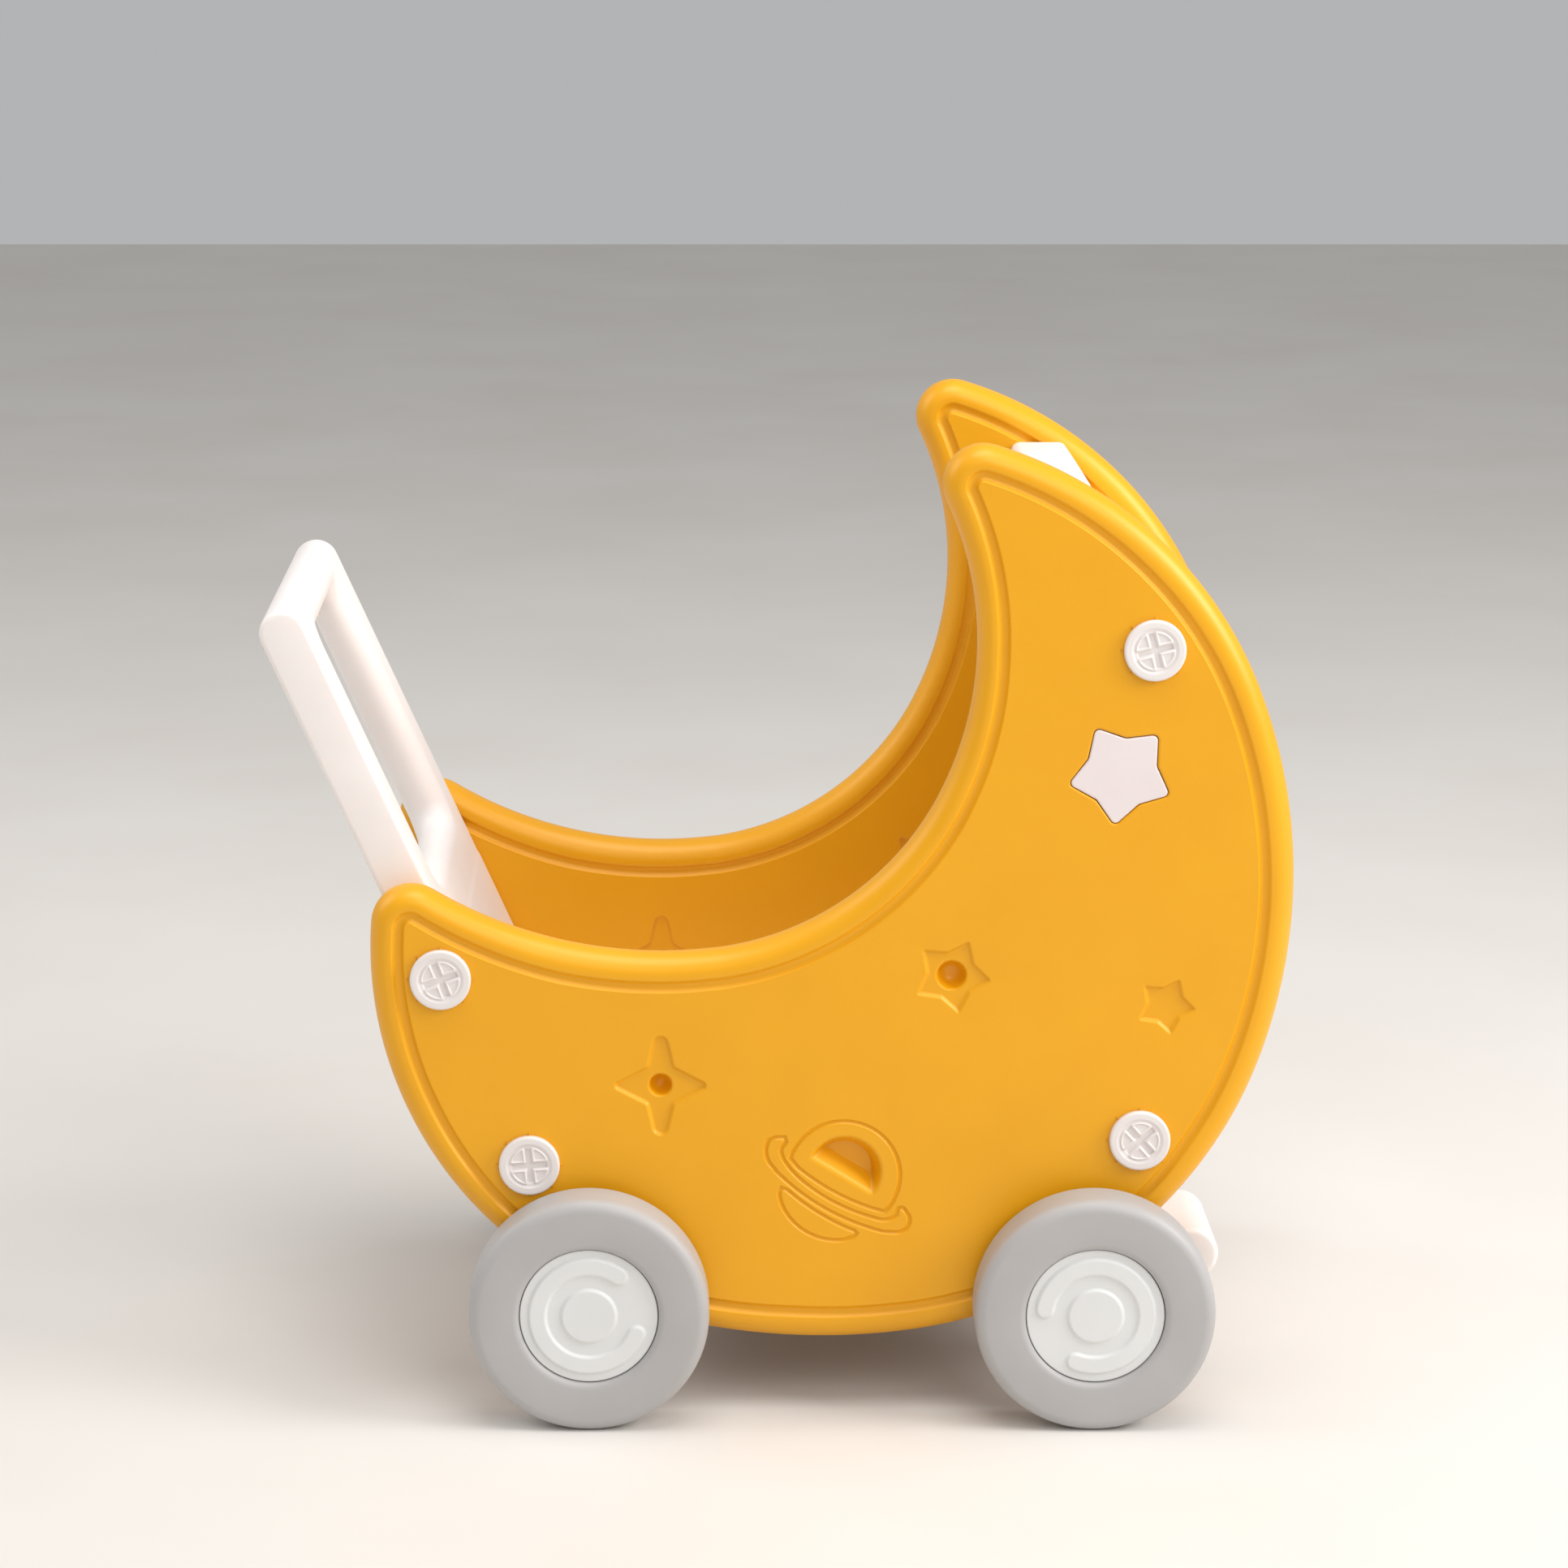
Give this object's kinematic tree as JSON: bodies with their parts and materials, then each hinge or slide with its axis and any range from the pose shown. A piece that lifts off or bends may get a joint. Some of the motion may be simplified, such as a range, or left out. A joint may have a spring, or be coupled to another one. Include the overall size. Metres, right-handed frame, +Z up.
{
  "type": "doll stroller",
  "caption": "Toy doll stroller with crescent side panels, a raised push handle board, a curved hood board, a floor and free-rolling wheels on two axles.",
  "frame": {"origin": "on the ground under the centre of the whole stroller's bounding box", "axes": "+X forwards, away from the push handle; +Y to the stroller's left; +Z up"},
  "size_m": [0.5561, 0.344, 0.5335],
  "materials": {
    "yellow_shell": "satin blow-moulded polyethylene, yellow-orange",
    "blush_board": "satin blow-moulded polyethylene, warm blush white",
    "blush_plug": "satin moulded plastic, pale pink white",
    "white_bolt": "satin moulded plastic, warm white",
    "white_cap": "satin moulded plastic, cool white",
    "grey_tyre": "fine matt blow-moulded plastic, light warm grey",
    "nylon": "natural nylon",
    "steel": "zinc plated"
  },
  "bodies": {
    "frame": {"side_panel_left": "yellow_shell", "side_panel_right": "yellow_shell", "star_plug_left": "blush_plug", "star_plug_right": "blush_plug", "handle_board": "blush_board", "front_board": "blush_board", "floor_board": "blush_board", "handle_board_inserts": "nylon", "front_board_inserts": "nylon", "bolt_grip_left": "white_bolt", "bolt_grip_right": "white_bolt", "bolt_rear_left": "white_bolt", "bolt_rear_right": "white_bolt", "bolt_hood_left": "white_bolt", "bolt_hood_right": "white_bolt", "bolt_front_left": "white_bolt", "bolt_front_right": "white_bolt", "rear_axle": "steel", "front_axle": "steel", "bush_rear_left": "nylon", "bush_rear_right": "nylon", "bush_front_left": "nylon", "bush_front_right": "nylon", "retainer_rear_left": "steel", "retainer_rear_right": "steel", "retainer_front_left": "steel", "retainer_front_right": "steel"},
    "wheel_rear_left": {"tyre_rear_left": "grey_tyre", "hub_rear_left": "nylon", "hub_cap_rear_left": "white_cap"},
    "wheel_rear_right": {"tyre_rear_right": "grey_tyre", "hub_rear_right": "nylon", "hub_cap_rear_right": "white_cap"},
    "wheel_front_left": {"tyre_front_left": "grey_tyre", "hub_front_left": "nylon", "hub_cap_front_left": "white_cap"},
    "wheel_front_right": {"tyre_front_right": "grey_tyre", "hub_front_right": "nylon", "hub_cap_front_right": "white_cap"}
  },
  "joints": [
    {"name": "wheel_rear_left_spin", "type": "hinge", "parent": "frame", "child": "wheel_rear_left", "pos_m": [-0.1011, 0.157, 0.065], "axis": [0, 1, 0], "continuous": true},
    {"name": "wheel_rear_right_spin", "type": "hinge", "parent": "frame", "child": "wheel_rear_right", "pos_m": [-0.1011, -0.157, 0.065], "axis": [0, 1, 0], "continuous": true},
    {"name": "wheel_front_left_spin", "type": "hinge", "parent": "frame", "child": "wheel_front_left", "pos_m": [0.1718, 0.157, 0.065], "axis": [0, 1, 0], "continuous": true},
    {"name": "wheel_front_right_spin", "type": "hinge", "parent": "frame", "child": "wheel_front_right", "pos_m": [0.1718, -0.157, 0.065], "axis": [0, 1, 0], "continuous": true}
  ]
}
